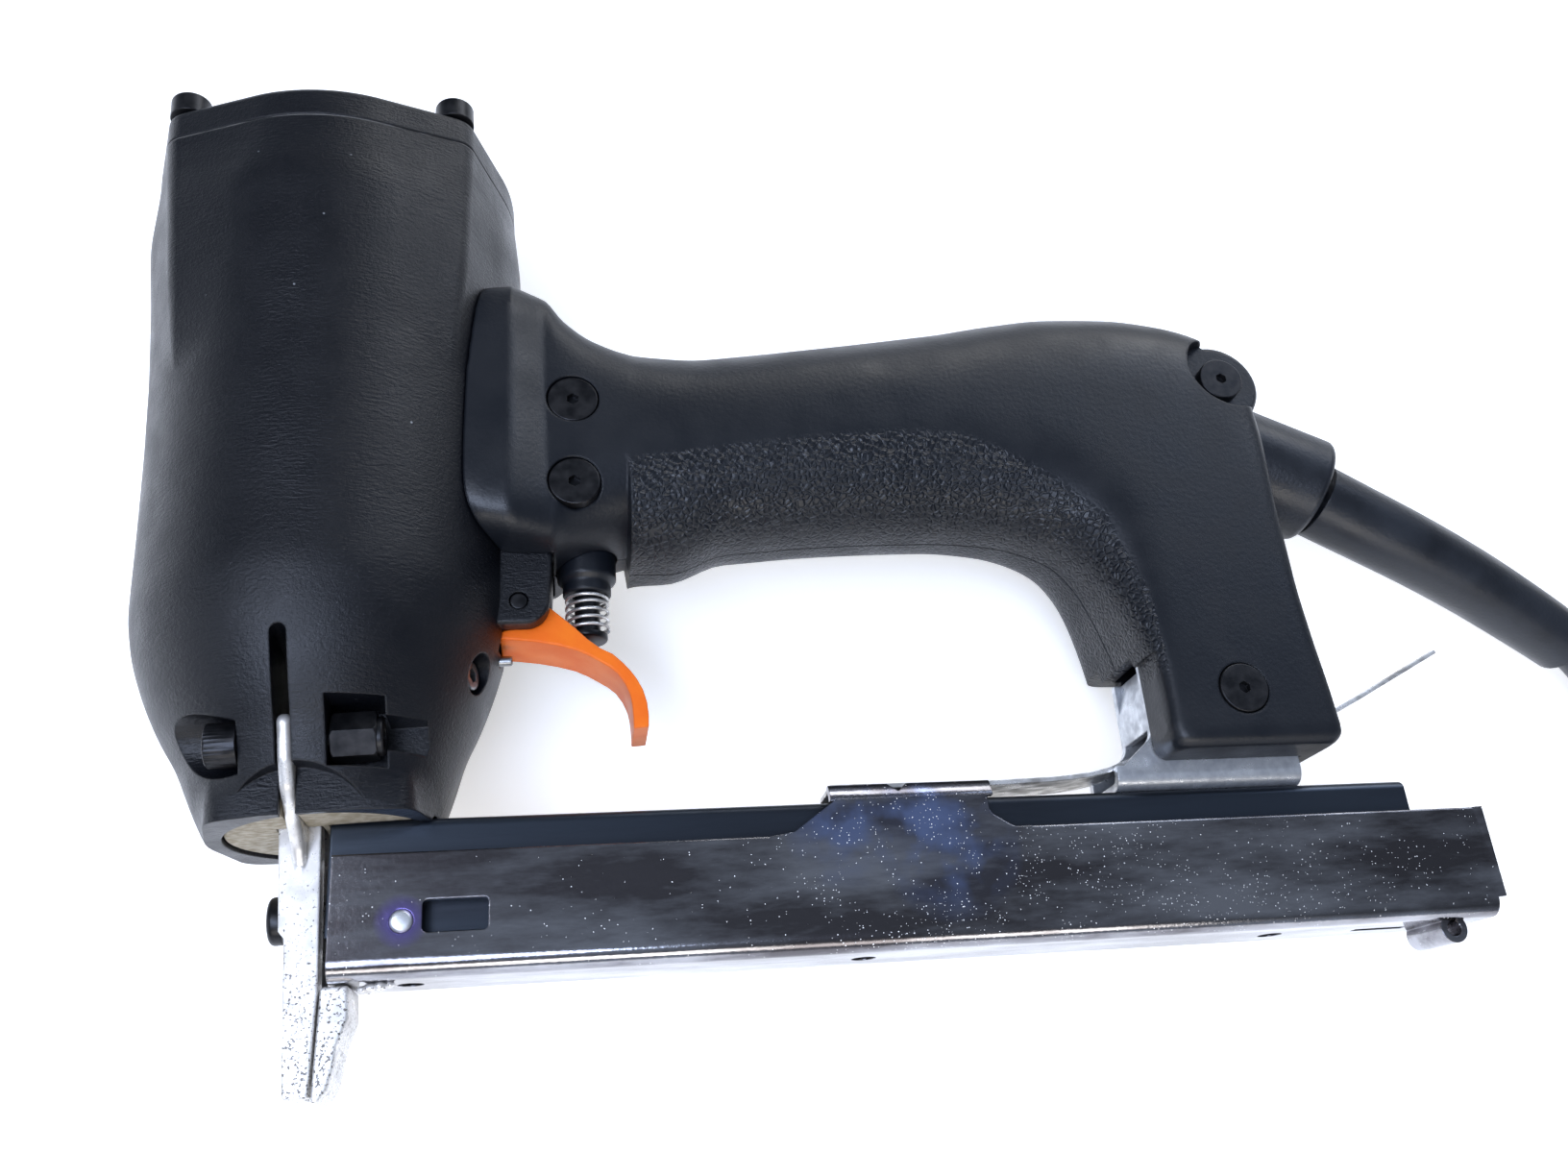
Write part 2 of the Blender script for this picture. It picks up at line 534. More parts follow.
def roundedOutline(corners, steps=8):
    # corners with their rounding radius become a closed outline
    points = []
    for i, (u, v, radius) in enumerate(corners):
        here = Vector((u, v))
        if not radius:
            points.append((u, v))
            continue
        back = (Vector(corners[i - 1][:2]) - here).normalized()
        ahead = (Vector(corners[(i + 1) % len(corners)][:2]) - here).normalized()
        half = math.acos(max(-1, min(1, back.dot(ahead)))) / 2
        middle = here + (back + ahead).normalized() * radius / math.sin(half)
        start = here + back * radius / math.tan(half) - middle
        end = here + ahead * radius / math.tan(half) - middle
        sweep = math.atan2(start.x * end.y - start.y * end.x, start.dot(end))
        for k in range(steps + 1):
            turned = Matrix.Rotation(sweep * k / steps, 2) @ start + middle
            points.append((turned.x, turned.y))
    return points


def carve(piece, cutters, operation="DIFFERENCE"):
    # all the cutters in one boolean, and then they go
    group = bpy.data.collections.new("cutters")
    bpy.context.scene.collection.children.link(group)
    for cutter in cutters:
        group.objects.link(cutter)
    apply(piece, "BOOLEAN", operation=operation, solver="EXACT", operand_type="COLLECTION", collection=group)
    for cutter in cutters:
        bpy.data.objects.remove(cutter)
    bpy.data.collections.remove(group)
    return piece


def turned(space, name, profile, sides=72):
    # a profile of (radius, height, rounding) spun about the space's z axis
    outline = [(max(r, 0), h) for r, h in roundedOutline(profile, 5)]
    piece = pieceFrom(name, [(r, 0, h) for r, h in outline], [], [(i, i + 1) for i in range(len(outline) - 1)])
    selectOnly(piece)
    bpy.ops.object.mode_set(mode="EDIT")
    bpy.ops.mesh.select_all(action="SELECT")
    bpy.ops.mesh.spin(steps=sides, angle=2 * math.pi, center=(0, 0, 0), axis=(0, 0, 1))
    bpy.ops.mesh.select_all(action="SELECT")
    bpy.ops.mesh.remove_doubles(threshold=1e-4)
    bpy.ops.mesh.normals_make_consistent(inside=False)
    bpy.ops.object.mode_set(mode="OBJECT")
    return settle(piece, space)


def along(space, axis, x, y, z, flip=False):
    # a space whose z axis runs along the named axis of another
    turn = axisTurns[axis] @ (Matrix.Rotation(math.pi, 4, "X") if flip else Matrix())
    return space @ Matrix.Translation((x, y, z)) @ turn


def skin(name, rings, space):
    # a closed skin through rings of points, each with as many points as the first
    count = len(rings[0])
    points = [space @ Vector(p) for ring in rings for p in ring]
    faces = []
    for i in range(len(rings) - 1):
        for j in range(count):
            k = (j + 1) % count
            faces.append((i * count + j, i * count + k, (i + 1) * count + k, (i + 1) * count + j))
    faces.append(tuple(range(count))[::-1])
    faces.append(tuple((len(rings) - 1) * count + j for j in range(count)))
    return recalculate(pieceFrom(name, points, faces))


# Cord: the sleeve, the free stretch and the coil, on one line.
cordSize = {
    "diameter": 8.4,
    "length": 2.5,
    "lowerTurns": 4.5,
    "upperTurns": 3.972,
    "midRadius": 44.5,
    "pitchShare": 1.09,
    "coilPlace": (336.2, 51.4),
    "startAngle": 190,
    "pointsPerTurn": 24,
    "tableHeight": -33.2,
    "sleeveRadii": (7.6, 6.5),
    "exit": (189.6, 102.9, 0),
    "sleeve": [(190, 102.6, 0), (197.6, 98.6, -0.6), (206.8, 94.5, -2), (216, 90.9, -4.4), (225.4, 87, -7), (233, 83.7, -9.5), (240.6, 80.3, -12)],
    "free": [
        (245, 78.2, -13.5), (249.2, 76.2, -15), (253.2, 74, -16.7), (256.9, 71.4, -18.6), (260.3, 68.4, -20.8),
        (263.3, 64.9, -23), (265.7, 61.2, -25.4), (267.6, 57.6, -27.4), (268.9, 54.3, -28.4), (269.75, 51.5, -28.9),
    ],
}


def coilPoints():
    size = cordSize
    thick = size["diameter"]
    pitch = thick * size["pitchShare"]
    floor = size["tableHeight"] + thick / 2
    outer = size["midRadius"] + size["lowerTurns"] * pitch / 2
    turns = size["lowerTurns"] + size["upperTurns"]
    total = round(turns * size["pointsPerTurn"])
    points = []
    for i in range(total + 1):
        turn = i * turns / total
        wound = turn if turn < size["lowerTurns"] else 2 * size["lowerTurns"] - turn
        radius = outer - wound * pitch
        share = min(max((turn - size["lowerTurns"] + 0.25) / 0.5, 0), 1)
        climb = share * share * (3 - 2 * share)
        angle = math.radians(size["startAngle"]) + 2 * math.pi * turn
        x = size["coilPlace"][0] + radius * math.cos(angle)
        y = size["coilPlace"][1] + radius * math.sin(angle)
        points.append((x, y, floor + climb * pitch))
    first = math.radians(size["startAngle"])
    last = first + 2 * math.pi * turns
    lead = (points[0][0] + math.sin(first) * thick, points[0][1] - math.cos(first) * thick, points[0][2])
    tail = (points[-1][0] - math.sin(last) * thick, points[-1][1] + math.cos(last) * thick, points[-1][2])
    return [lead, *points, tail]


def curvePiece(name, points, radius, radii=None, resolution=3, ring=4):
    data = bpy.data.curves.new(name, "CURVE")
    data.dimensions = "3D"
    data.resolution_u = data.render_resolution_u = resolution
    data.bevel_depth = radius / 1000
    data.bevel_resolution = ring
    data.use_fill_caps = True
    line = data.splines.new("NURBS")
    line.points.add(len(points) - 1)
    for i, (point, p) in enumerate(zip(line.points, points)):
        point.co = (*at(*p), 1)
        point.radius = radii[i] if radii else 1
    line.order_u = 4
    line.use_endpoint_u = True
    piece = bpy.data.objects.new(name, data)
    bpy.context.scene.collection.objects.link(piece)
    return piece


plugSize = {
    "bootLength": 37.0,
    "bodyLength": 38.0,
    "halfWidth": 12.4,
    "halfHeight": 12.1,
    "bootRadii": (4.7, 6.2),
    "ribs": 6,
    "ribDepth": 0.7,
    # body rings: how far along, width and height as shares
    "rings": [(0.0, 0.5, 0.5), (0.06, 0.72, 0.72), (0.16, 0.8, 0.8), (0.42, 0.84, 0.84), (0.6, 0.92, 0.92), (0.78, 1, 1), (0.96, 1, 1), (1.0, 0.95, 0.95)],
}


def makePlug():
    # boot with grip ribs, then a body that widens to the face; it stands where the CAD plug stands
    low, high = (toTool @ Vector(corner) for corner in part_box("plug_body"))
    seat = inTool @ Matrix.Translation(((low.x + high.x) / 2, low.y, (low.z + high.z) / 2))
    size = plugSize

    def ring(along, width, height, squareness):
        points = []
        for k in range(64):
            turn = 2 * math.pi * k / 64
            c, s = math.cos(turn), math.sin(turn)
            points.append((width * math.copysign(abs(c) ** squareness, c), along, -height * math.copysign(abs(s) ** squareness, s)))
        return points

    rings = []
    start, end = size["bootRadii"]
    for i in range(49):
        share = i / 48
        groove = size["ribDepth"] * max(0, math.sin(share * size["ribs"] * 2 * math.pi)) * (0.08 < share < 0.95)
        radius = start + (end - start) * share - groove * 0.5
        rings.append(ring(share * size["bootLength"], radius, radius, 1))
    for share, width, height in size["rings"]:
        y = size["bootLength"] + share * size["bodyLength"]
        if share > 0:
            rings.append(ring(y, size["halfWidth"] * width, size["halfHeight"] * height, 0.45 if share > 0.1 else 0.7))
    body = smooth(skin("plugMoulding", rings, seat), 40)
    dress(body, "plug_body")
    pieces = [body]
    for node, name in (("plug_blade_near", "nearBlade"), ("plug_blade_far", "farBlade"), ("plug_ground_pin", "groundPin")):
        low, high = (toTool @ Vector(corner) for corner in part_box(node))
        if node == "plug_ground_pin":
            radius = (high.x - low.x) / 2
            space = along(inTool, "y", (low.x + high.x) / 2, low.y, (low.z + high.z) / 2)
            piece = turned(space, name, [(0, 0, 0), (radius, 0, 0), (radius, high.y - low.y, 2.2), (0, high.y - low.y, 0)], 48)
        else:
            piece = block(inTool, low.x, high.x, low.y, high.y, low.z, high.z)
            piece.name = name
            apply(piece, "BEVEL", width=0.0004, segments=3, limit_method="ANGLE")
            carve(piece, [bar(inTool, "x", 1.6, low.x - 1, high.x + 1, high.y - 4.5, (low.z + high.z) / 2, 32)])
        pieces.append(dress(smooth(piece, 35), node))
    return pieces


def makeCord():
    line = [cordSize["exit"], *cordSize["sleeve"], *cordSize["free"], *coilPoints()]
    cord = curvePiece("rubberCord", line, cordSize["diameter"] / 2)
    cord.data.materials.append(finishes["black_rubber"])
    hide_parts("power_cord", "cord_coil")
    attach(cord, "frame")
    low, high = cordSize["sleeveRadii"]
    route = cordSize["sleeve"] + cordSize["free"][:2]
    steps = len(route) - 1
    radii = [1 + (high / low - 1) * i / steps for i in range(steps + 1)]
    sleeve = dress(curvePiece("bendSleeve", route, low, radii, resolution=8, ring=12), "relief_sleeve")
    at(*cordSize["exit"])
    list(makePlug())


makeCord()
print("cord laid")

# Head: a round barrel that turns square with four lugs towards the cap.
headSize = {
    "height": 121.0,
    "radius": 33.2,
    "reach": 27.0,
    "corner": 4.5,
    # height, radius and lug reach at each level as shares, and how far it stands forward in mm
    "levels": [
        (0, 0.552, 0.6, -0.6), (0.017, 0.583, 0.6, -0.7), (0.05, 0.629, 0.6, -0.8), (0.099, 0.69, 0.6, -1.0), (0.14, 0.771, 0.6, -1.2),
        (0.19, 0.846, 0.6, -1.3), (0.244, 0.908, 0.65, -1.3), (0.3, 0.942, 0.7, -1.2), (0.43, 0.944, 0.807, -0.9),
        (0.545, 0.95, 0.845, -0.6), (0.669, 0.965, 0.907, -0.3), (0.793, 0.995, 0.956, 0), (0.901, 1.025, 0.981, 0), (1, 1, 1, 0),
    ],
    "ringPoints": 160,
    "capThickness": 6.4,
    "capEdge": 1.6,
    "screwReach": 23.3,
    "slit": (-4.85, -2.35, 26.5),  # front and rear faces and height
    "clampHeight": 11.3,
    "clampReach": 17.5,
    "pivot": (30.4, 78.5),
    "vent": (23.4, 22),  # height, and degrees from the rear towards the side
}


def headRing(height, radius, reach, grow=0.0, count=None):
    count = count or headSize["ringPoints"]
    corner = reach - headSize["corner"]
    edge = headSize["corner"] + grow
    ring = []
    for i in range(count):
        turn = 2 * math.pi * i / count
        c, s = math.cos(turn), math.sin(turn)
        lug = corner * (abs(c) + abs(s)) + headSize["corner"]
        if radius >= lug:
            ring.append(((radius + grow) * c, height, (radius + grow) * s))
        else:
            ring.append((math.copysign(corner, c) + edge * c, height, math.copysign(corner, s) + edge * s))
    return ring


def headLevel(share):
    levels = headSize["levels"]
    i = next((k for k in range(1, len(levels)) if levels[k][0] >= share), len(levels) - 1)
    before, after = levels[i - 1], levels[i]
    t = (share - before[0]) / (after[0] - before[0])
    return [a + (b - a) * t for a, b in zip(before[1:], after[1:])]


def headRings(grow=0.0, step=1.0, blur=2.2, count=None):
    # each level is the mean over a short stretch, so that the creases are softly rounded
    height = headSize["height"]
    total = round(height / step)
    rings = []
    for i in range(total + 1):
        y = height * i / total
        reach = min(blur, y, height - y)
        samples = [headLevel((y + reach * k / 4) / height) for k in range(-4, 5)]
        radius, lug, shift = (sum(column) / len(samples) for column in zip(*samples))
        ring = headRing(y, radius * headSize["radius"], lug * headSize["reach"], grow, count)
        rings.append([(x + shift, height_, z) for x, height_, z in ring])
    return rings


inPivot = inTool @ Matrix.Translation((*headSize["pivot"], 0))
earOutline = [(-9, 10.9, 0), (5.8, 10.9, 0.6), (5.0, -4.1, 4.1), (-9, -4.1, 0)]


def ventSpace():
    height, turn = headSize["vent"]
    return inHead @ Matrix.Translation((0, height, 0)) @ Matrix.Rotation(-math.radians(turn), 4, "Y")


def makeHousing():
    piece = skin("castHousing", headRings(), inHead)
    ears = prism(inPivot, roundedOutline(earOutline), -9.5, 9.5)
    apply(ears, "BEVEL", width=0.0007, segments=3, limit_method="ANGLE", angle_limit=math.radians(50))
    carve(piece, [ears], "UNION")
    front, rear, top = headSize["slit"]
    half = (rear - front) / 2
    slit = roundedOutline([(front, -3, 0), (rear, -3, 0), (rear, top, half - 0.02), (front, top, half - 0.02)])
    low, reach = headSize["clampHeight"], headSize["clampReach"]
    cutters = []
    for side in (1, -1):
        span = sorted((side * 17.3, side * 36))
        deep = sorted((side * 13.1, side * 36))
        cutters += [
            bar(inHead, "z", 12, *span, -2.5, -4.8, 96),
            bar(inHead, "x", 5, -33, -10.5, low, side * reach, 64),
            block(inHead, 2.6, 11.2, low - 5.1, low + 5.1, *deep),
            block(inHead, 11.0, 17, low - 2.5, low + 2.5, *deep),
            bar(inHead, "x", 2.15, -10.9, 3, low, side * reach, 32),
        ]
    corner = headSize["screwReach"]
    cutters += [bar(inHead, "y", 2.15, 108, 124, x, z, 32) for x in (-corner, corner) for z in (-corner, corner)]
    cutters += [
        bar(inHead, "y", 12.8, -3, 34.5, 0, 0, 96),
        bar(inHead, "y", 16.4, -3, 4.8, 0, 0, 96),
        bar(inHead, "y", 26.6, 34, 124, 0, 0, 96),
        prism(inHead, slit, -33, 33),
        block(inPivot, -4, 8.8, -8, 4.6, -6.2, 6.2),
        bar(inPivot, "z", 1.65, -12, 12, 0, 0, 32),
        bar(inPivot, "x", 1.1, -5.2, 0.8, -8.7, 3, 24),
        bar(ventSpace(), "x", 3.4, 22.5, 36, 0, 0, 64),
        block(inTool, 0.8, 34.2, 23.6, 42.3, -6.6, 6.6),
    ]
    return dress(smooth(carve(piece, cutters), 38), "head_housing")


def makeCap():
    foot = headSize["height"] + 0.2
    top = foot + headSize["capThickness"]
    edge = headSize["capEdge"]
    turns = [math.pi / 2 * k / 6 for k in range(7)]
    levels = [(foot, 0.25), (foot + 0.25, 0), *[(top - edge * (1 - math.sin(a)), edge * (1 - math.cos(a))) for a in turns]]
    rings = [headRing(y, headSize["radius"] - inset, headSize["reach"] - inset) for y, inset in levels]
    corner = headSize["screwReach"]
    holes = [bar(inHead, "y", 2.15, foot - 3, top + 3, x, z, 32) for x in (-corner, corner) for z in (-corner, corner)]
    return dress(smooth(carve(skin("castCap", rings, inHead), holes), 30), "head_cap")


makeHousing()
makeCap()
print("head ready")

# Fasteners: each is spun from its profile, and its socket is cut with six sides.
# node and name, space, head radius, head height, head edge, shank radius, shank length, socket radius and depth
fastenerSize = {
    "cap": (3.5, 4.0, 0.5, 2.0, 19.0, 1.75, 2.0),
    "handle": (4.45, 2.2, 0.25, 2.0, 26.0, 1.15, 1.2),
    "nose": (3.8, 2.2, 0.9, 2.0, 3.6, 1.45, 1.3),
    "clamp": (3.5, 4.8, 0.35, 2.0, 19.0, 1.75, 2.0),
    "nutRadius": 4.04,
    "nutSpan": (3.0, 9.8),
    "knurls": 36,
}


def makeScrew(node, name, space, kind, seat=0.0, longer=0.0):
    radius, height, edge, shank, length, socket, depth = fastenerSize[kind]
    profile = [(0, -length - longer, 0), (shank, -length - longer, 0.4), (shank, seat, 0), (radius, seat, 0.15), (radius, seat + height, edge), (0, seat + height, 0)]
    piece = turned(space, name, profile)
    if kind == "clamp":
        # knurled rim: every second column of the rim's points moves in
        back = space.inverted()
        for vertex in piece.data.vertices:
            p = back @ vertex.co
            if math.hypot(p.x, p.y) > radius - 0.05 and seat + 0.6 < p.z + 0.2:
                turn = math.atan2(p.y, p.x) / (2 * math.pi) * fastenerSize["knurls"] * 2
                if round(turn) % 2:
                    p.x, p.y = p.x * 0.94, p.y * 0.94
                    vertex.co = space @ p
    top = seat + height
    cone = bar(space, "z", socket, top - depth, top + 1, 0, 0, 6)
    carve(piece, [cone])
    return dress(smooth(piece, 35), node)


def makeFasteners():
    corner = headSize["screwReach"]
    seat = headSize["height"] + 0.4 + headSize["capThickness"]
    for i, (x, z) in enumerate([(-corner, corner), (corner, corner), (corner, -corner), (-corner, -corner)]):
        makeScrew(f"cap_screw_{i + 1}", f"capScrew{i + 1}", along(inHead, "y", x, seat, z), "cap")
    for i, (x, y) in enumerate(handleSize["screws"]):
        floor = handleSize["scoop"][1] if i == 3 else handleSize["recess"][1]
        makeScrew(f"handle_screw_{i + 1}", f"handleScrew{i + 1}", along(inTool, "z", x, y, floor + 0.2), "handle", longer=-5.0 if i == 3 else 0)
    low, reach = headSize["clampHeight"], headSize["clampReach"]
    n0, n1 = fastenerSize["nutSpan"]
    for side, tag in ((1, "near"), (-1, "far")):
        makeScrew(f"clamp_bolt_{tag}", f"{tag}ClampBolt", along(inHead, "x", -10.7, low, side * reach, flip=True), "clamp", seat=0.0)
        radius = fastenerSize["nutRadius"]
        nut = bar(inHead, "x", radius, n0, n1, low, side * reach, 6, math.radians(30))
        nut.name = f"{tag}ClampNut"
        space = along(inHead, "x", n0, low, side * reach)
        round_ = turned(space, "nutRounding", [(0, -0.1, 0), (radius * 0.9, -0.1, 0), (radius * 1.02, 0.5, 0), (radius * 1.02, n1 - n0 - 0.5, 0), (radius * 0.9, n1 - n0 + 0.1, 0), (0, n1 - n0 + 0.1, 0)])
        carve(nut, [round_], "INTERSECT")
        collar = turned(space, "nutCollar", [(0, n1 - n0 - 0.3, 0), (3.1, n1 - n0 - 0.3, 0), (3.1, n1 - n0 + 0.9, 0.3), (2.2, n1 - n0 + 0.9, 0), (2.2, n1 - n0, 0), (0, n1 - n0, 0)])
        carve(nut, [collar], "UNION")
        carve(nut, [bar(inHead, "x", 2.2, n0 - 1, n1 - 1.2, low, side * reach, 40)])
        dress(smooth(nut, 25), f"clamp_nut_{tag}")
    makeScrew("nose_screw", "noseScrew", along(inHead, "x", -6.65, -12.8, 0, flip=True), "nose")


# Handle: two half shells drawn by pairs of points on the outer and inner edge.
handleSize = {
    "front": 20.0,
    "foot": 47.0,
    "length": 160.0,
    "height": 94.0,
    "halfWidth": 17.4,
    "wall": 3.0,
    "crisp": 3,  # ribs at the front that meet in edges
    # outer x, outer y, inner x, inner y, half width (shares) and squareness
    "ribs": [
        (-0.01, 0.958, -0.01, 0.455, 1.17, 7), (0.03, 0.969, 0.025, 0.44, 1.185, 8), (0.058, 0.976, 0.058, 0.43, 1.18, 8),
        (0.09, 0.972, 0.098, 0.427, 1.005, 7), (0.116, 0.93, 0.116, 0.436, 1, 5), (0.147, 0.898, 0.15, 0.453, 0.985, 3.8),
        (0.183, 0.881, 0.184, 0.463, 0.975, 3.1), (0.2, 0.879, 0.198, 0.465, 0.972, 2.8), (0.256, 0.879, 0.25, 0.464, 0.965, 2.5),
        (0.325, 0.893, 0.316, 0.472, 0.965, 2.4), (0.4, 0.911, 0.39, 0.483, 0.965, 2.4), (0.481, 0.932, 0.469, 0.489, 0.965, 2.4),
        (0.563, 0.955, 0.544, 0.491, 0.965, 2.4), (0.638, 0.977, 0.613, 0.483, 0.965, 2.6), (0.713, 0.991, 0.663, 0.461, 0.965, 2.9),
        (0.79, 0.986, 0.694, 0.433, 0.965, 3.4), (0.855, 0.966, 0.713, 0.396, 0.965, 4.0), (0.908, 0.93, 0.726, 0.355, 0.965, 4.8),
        (0.942, 0.872, 0.735, 0.315, 0.965, 5.8), (0.955, 0.777, 0.743, 0.271, 0.965, 7), (0.956, 0.681, 0.749, 0.234, 0.965, 8.5),
        (0.953, 0.58, 0.754, 0.197, 0.965, 10), (0.95, 0.468, 0.758, 0.16, 0.965, 11), (0.95, 0.346, 0.76, 0.123, 0.965, 12),
        (0.954, 0.223, 0.76, 0.085, 0.965, 12), (0.96, 0.112, 0.759, 0.045, 0.965, 12), (0.963, 0.037, 0.76, 0.03, 0.965, 12),
    ],
    "end": (0.963, 0.76, 2.6),  # outer and inner x of the leg's end, and its rounding
    "step": (0.186, 0.3, 0.036),  # where the grip's underside steps down, where that fades, and by how much
    "screws": [(40, 114.21), (40.1, 97.76), (156, 57.105), (168.64, 123.986)],
    "recess": (4.7, 14.7),  # radius and floor
    "scoop": (9.0, 9.5),
    "bossRadius": 9.1,
    # the upper edge of the grip's leather texture, from the front round to the leg
    "gripEdge": [
        (49, 103.1), (66.3, 105.6), (84.1, 107.9), (102.4, 109.1), (111.6, 108.8), (122.2, 104.2), (129, 99.7),
        (137.1, 92.1), (142.4, 75.6), (143, 62.6),
    ],
}


def evenCurve(keys, spot):
    # a smooth curve through keys at whole spots, which never swings past them
    last = len(keys) - 1
    i = min(max(int(spot), 0), last - 1)
    t = spot - i
    slopes = [keys[k + 1] - keys[k] for k in range(last)]

    def tangent(k):
        if k in (0, last):
            return slopes[0] if k == 0 else slopes[-1]
        before, after = slopes[k - 1], slopes[k]
        return 0 if before * after <= 0 else 2 * before * after / (before + after)

    a, b = keys[i], keys[i + 1]
    return a * (2 * t**3 - 3 * t**2 + 1) + tangent(i) * (t**3 - 2 * t**2 + t) + b * (3 * t**2 - 2 * t**3) + tangent(i + 1) * (t**3 - t**2)


def handleRings(inset, middle, low=0, high=26, perRib=5, around=56, end=True):
    size = handleSize
    columns = list(zip(*size["ribs"]))
    stepStart, stepEnd, stepDrop = size["step"]
    spots = [low + i / perRib for i in range((high - low) * perRib + 1)]
    shapes = []
    for spot in spots:
        if spot < size["crisp"]:
            i = int(spot)
            shapes.append([a + (b - a) * (spot - i) for a, b in zip(size["ribs"][i], size["ribs"][i + 1])] + [0.0])
        else:
            shapes.append([evenCurve(column, spot) for column in columns] + [0.0])
    if end and high == len(size["ribs"]) - 1:
        outerX, innerX, rounding = size["end"]
        width, squareness = shapes[-1][4:6]
        for k in range(1, 8):
            turn = math.pi / 2 * k / 7
            y = (rounding / size["height"]) * (1 - math.sin(turn))
            if y < shapes[-1][1] - 0.002:
                shapes.append([outerX, y, innerX, y, width, squareness, rounding * (1 - math.cos(turn))])
    rings = []
    for ox, oy, ix, iy, widthShare, squareness, extra in shapes:
        outer = Vector((size["front"] + ox * size["length"], size["foot"] + oy * size["height"], 0))
        inner = Vector((size["front"] + ix * size["length"], size["foot"] + iy * size["height"], 0))
        centre = (outer + inner) / 2
        arm = outer - centre
        shorter = inset + extra
        arm *= (arm.length - shorter) / arm.length
        drop = 0.0
        if ix > stepStart and high > 8:
            fade = min(max((stepEnd - ix) / (stepEnd - stepStart) * 1.6, 0), 1)
            drop = stepDrop * size["height"] * fade * fade * (3 - 2 * fade)
        if iy < 0.4:
            drop = 0.0
        width = widthShare * size["halfWidth"] - shorter
        ring = []
        for k in range(around + 1):
            turn = math.pi * k / around
            c, s = math.cos(turn), abs(math.sin(turn))
            along_ = math.copysign(abs(c) ** (2 / squareness), c)
            point = centre + arm * along_
            if along_ < 0:
                point.y += drop * along_
            under = squareness * (0.72 if along_ < 0 and ix < stepStart else 1)
            point.z = max(middle, width * s ** (2 / under))
            ring.append(point)
        ring[0].z = ring[-1].z = middle
        rings.append(ring)
    return rings


def gripShare(x, y):
    # 1 inside the leather texture, 0 outside it
    edge = handleSize["gripEdge"]
    if x < 49.6 or y < 60 or x > 143:
        return 0.0
    limit = 62.0
    for (x0, y0), (x1, y1) in zip(edge, edge[1:]):
        if x0 <= x <= x1:
            limit = y0 + (y1 - y0) * (x - x0) / (x1 - x0)
    lower = min(x - 49.6, 1.2) / 1.2
    return max(0.0, min(1.0, (limit - y) / 1.6)) * lower * min(1.0, (y - 60) / 4)


def makeHandleHalf(side, name, node):
    size = handleSize
    space = inTool @ Matrix.Scale(side, 4, (0, 0, 1))
    piece = skin(name, handleRings(0, 0.15), space)
    top = size["scoop"][1] if side > 0 else 15.6
    corner = bar(inTool, "z", size["bossRadius"], *sorted((side * 0.15, side * top)), *size["screws"][3], 96)
    apply(corner, "BEVEL", width=0.0012, segments=3, limit_method="ANGLE")
    carve(piece, [corner], "UNION")
    room = skin("room", handleRings(size["wall"], -0.15, 0, 21, 2, 20), space)
    bosses = []
    for i, (x, y) in enumerate(size["screws"]):
        foot = 8.8 if i < 2 else 0.15
        bosses.append(bar(inTool, "z", 8.5 if i == 3 else 5.4, *sorted((side * foot, side * 20)), x, y, 40))
    carve(room, bosses)
    legRoom = skin("legRoom", handleRings(size["wall"], -0.15, 20, 25, 2, 20, end=False), space)
    carve(legRoom, [bar(inTool, "z", 5.4, *sorted((side * 0.15, side * 20)), *size["screws"][2], 40)])
    cutters = [room, legRoom]
    for i, (x, y) in enumerate(size["screws"]):
        radius, floor = size["scoop"] if i == 3 else size["recess"]
        cutters.append(bar(inTool, "z", 2.15, *sorted((side * -3, side * 21)), x, y, 32))
        if side > 0:
            cutters.append(bar(inTool, "z", radius, floor, 21, x, y, 96))
        else:
            cutters.append(bar(inTool, "z", 4.24, -21, -9.57, x, y, 6))
    gland = inTool @ Matrix.Translation((189.6, 104.4, 0)) @ Matrix.Rotation(-math.radians(24.7), 4, "Z")
    earRoom = [(-9, 11.2, 0), (6.1, 11.2, 0), (5.3, -4.4, 4.4), (-9, -4.4, 0)]
    cutters += [
        block(inTool, 130, 169.6, 44, 66.6, -7.05, 7.05),
        block(inTool, 118, 141.6, 40, 64.8, -21, 21),
        block(inTool, 118, 147.5, 40, 69.0, -21, -6.9),
        skin("headRoom", headRings(0.3, 4.0, 3.0, 80), inHead),
        prism(inPivot, roundedOutline(earRoom), -9.8, 9.8),
        bar(gland, "x", 11.1, -19.3, 3, 0, 0, 96),
        bar(gland, "x", 6.8, -23.3, -19, 0, 0, 48),
        bar(inTool, "y", 5.6, 86.2, 104.2, 42.2, 0, 64),
    ]
    carve(piece, cutters)
    smooth(piece, 30)
    grip = piece.data.attributes.new("grip", "FLOAT", "POINT")
    back = toTool
    for vertex, value in zip(piece.data.vertices, grip.data):
        point = back @ vertex.co
        value.value = gripShare(point.x, point.y)
    return dress(piece, node)


makeHandleHalf(1, "nearHandleShell", "handle_near_half")
makeHandleHalf(-1, "farHandleShell", "handle_far_half")
print("handle ready")
makeFasteners()
print("fasteners ready")

# Trigger and switch.
switchSize = {
    "place": (42.2, 104.2),
    "body": (7.5, 8.0, 8.5),
    # radius, height and rounding of the collar under the body
    "collar": [(0, 97, 0), (5.3, 97, 0), (5.3, 85.9, 0.7), (4.35, 85.0, 0.5), (4.35, 82.9, 0.4), (2.6, 82.9, 0.2), (2.6, 92, 0), (0, 92, 0)],
    "plunger": [(0, 74.3, 0), (3.6, 74.3, 0.5), (3.6, 75.5, 0.3), (2.3, 75.5, 0.2), (2.3, 86.4, 0.3), (0, 86.4, 0)],
}


